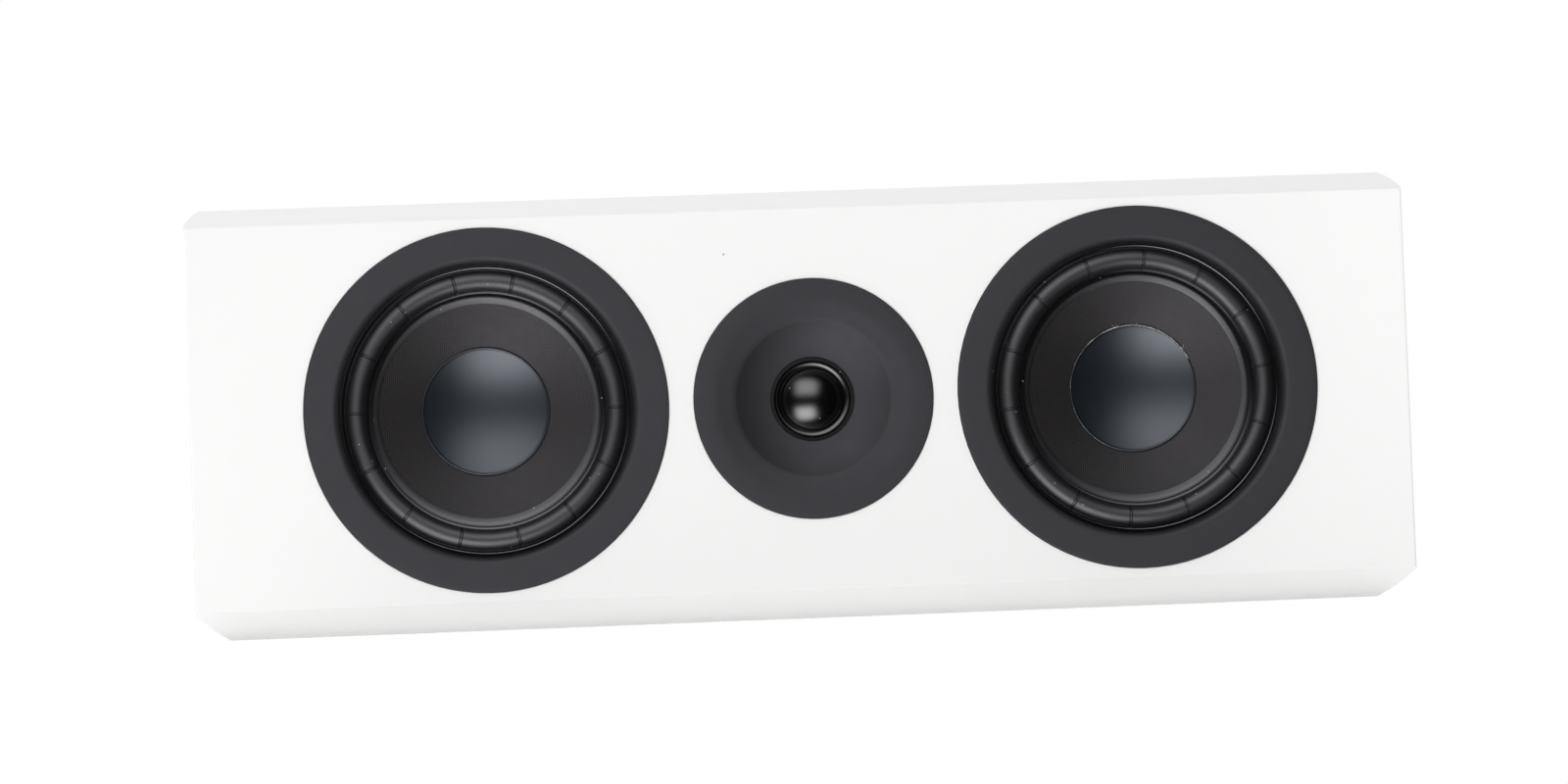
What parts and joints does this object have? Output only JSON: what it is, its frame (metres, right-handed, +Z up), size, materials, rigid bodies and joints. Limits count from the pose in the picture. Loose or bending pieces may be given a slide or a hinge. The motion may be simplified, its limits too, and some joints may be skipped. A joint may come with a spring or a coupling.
{
  "type": "center channel speaker",
  "caption": "Horizontal loudspeaker cabinet with a bevelled top and bottom, a dome tweeter between two woofers and screw terminals at the back.",
  "frame": {"origin": "middle of the box's underside", "axes": "+X to the right seen from the front, -Y out of the front, +Z up"},
  "size_m": [0.5006, 0.2198, 0.1761],
  "materials": {
    "white_lacquer": "satin white lacquer on fibreboard",
    "bare_board": "bare fibreboard",
    "wadding": "polyester wadding",
    "trim_dark": "charcoal satin moulding",
    "surround_rubber": "moulded rubber, satin",
    "cone_weave": "woven fibre, resin coated",
    "cap_satin": "satin coated cap",
    "dome_coated": "coated soft dome",
    "cast_basket": "black painted casting",
    "gasket_foam": "foam strip",
    "plated_steel": "zinc plated steel",
    "ferrite": "ground ferrite",
    "copper_wire": "enamelled copper wire",
    "former_foil": "thin foil tube",
    "spider_cloth": "resin dipped cloth",
    "black_screw": "black oxide",
    "terminal_black": "fine-textured black moulding",
    "post_metal": "gold coloured plating",
    "knob_red": "clear red moulding",
    "knob_black": "black moulding",
    "circuit_board": "green circuit laminate",
    "standoff_nylon": "nylon",
    "capacitor_film": "wrapped film",
    "resistor_cement": "cement body"
  },
  "bodies": {
    "cabinet": {"cabinet_top": "white_lacquer", "cabinet_bottom": "white_lacquer", "front_baffle": "white_lacquer", "rear_panel": "white_lacquer", "left_end_panel": "white_lacquer", "right_end_panel": "white_lacquer", "braces": "bare_board", "damping_pads": "wadding", "tweeter_guide": "trim_dark", "tweeter_chassis": "terminal_black", "tweeter_gasket": "gasket_foam", "tweeter_screws": "black_screw", "tweeter_surround": "dome_coated", "tweeter_top_plate": "plated_steel", "tweeter_magnet": "ferrite", "tweeter_yoke": "plated_steel", "terminal_plate": "terminal_black", "terminal_screws": "black_screw", "post_bases": "terminal_black", "post_nuts": "post_metal", "crossover_board": "circuit_board", "crossover_standoffs": "standoff_nylon", "crossover_inductors": "copper_wire", "crossover_capacitors": "capacitor_film", "crossover_resistors": "resistor_cement", "left_woofer_trim_ring": "trim_dark", "left_woofer_gasket": "gasket_foam", "left_woofer_basket": "cast_basket", "left_woofer_screws": "black_screw", "left_woofer_surround": "surround_rubber", "left_woofer_spider": "spider_cloth", "left_woofer_top_plate": "plated_steel", "left_woofer_magnet": "ferrite", "left_woofer_yoke": "plated_steel", "right_woofer_trim_ring": "trim_dark", "right_woofer_gasket": "gasket_foam", "right_woofer_basket": "cast_basket", "right_woofer_screws": "black_screw", "right_woofer_surround": "surround_rubber", "right_woofer_spider": "spider_cloth", "right_woofer_top_plate": "plated_steel", "right_woofer_magnet": "ferrite", "right_woofer_yoke": "plated_steel", "red_post_stud": "post_metal", "black_post_stud": "post_metal"},
    "tweeter_dome_coil": {"tweeter_dome": "dome_coated", "tweeter_coil": "copper_wire"},
    "left_cone": {"left_woofer_cone": "cone_weave", "left_woofer_dust_cap": "cap_satin", "left_woofer_coil_former": "former_foil", "left_woofer_coil_winding": "copper_wire"},
    "right_cone": {"right_woofer_cone": "cone_weave", "right_woofer_dust_cap": "cap_satin", "right_woofer_coil_former": "former_foil", "right_woofer_coil_winding": "copper_wire"},
    "red_washer": {"red_post_washer": "post_metal"},
    "red_knob": {"red_post_knob": "knob_red"},
    "black_washer": {"black_post_washer": "post_metal"},
    "black_knob": {"black_post_knob": "knob_black"}
  },
  "joints": [
    {"name": "left_cone_travel", "type": "slide", "parent": "cabinet", "child": "left_cone", "axis": [0, -1, 0], "range_m": [-0.004, 0.004], "stiffness_N_per_m": 1000, "deforming": ["left_woofer_surround", "left_woofer_spider"]},
    {"name": "right_cone_travel", "type": "slide", "parent": "cabinet", "child": "right_cone", "axis": [0, -1, 0], "range_m": [-0.004, 0.004], "stiffness_N_per_m": 1000, "deforming": ["right_woofer_surround", "right_woofer_spider"]},
    {"name": "tweeter_dome_travel", "type": "slide", "parent": "cabinet", "child": "tweeter_dome_coil", "axis": [0, -1, 0], "range_m": [-0.0003, 0.0003], "stiffness_N_per_m": 600, "deforming": ["tweeter_surround"]},
    {"name": "red_washer_travel", "type": "slide", "parent": "cabinet", "child": "red_washer", "axis": [0, 1, 0], "range_m": [0, 0.005]},
    {"name": "red_knob_turn", "type": "hinge", "parent": "red_washer", "child": "red_knob", "pos_m": [-0.00953, 0.1, 0.0898], "axis": [0, 1, 0], "range_deg": [0, 1801]},
    {"name": "black_washer_travel", "type": "slide", "parent": "cabinet", "child": "black_washer", "axis": [0, 1, 0], "range_m": [0, 0.005]},
    {"name": "black_knob_turn", "type": "hinge", "parent": "black_washer", "child": "black_knob", "pos_m": [0.00953, 0.1, 0.0898], "axis": [0, 1, 0], "range_deg": [0, 1801]}
  ],
  "couplings": [
    {"joint": "red_knob_turn", "follows": "red_washer_travel", "rad_per_m": 6283.2},
    {"joint": "black_knob_turn", "follows": "black_washer_travel", "rad_per_m": 6283.2}
  ]
}
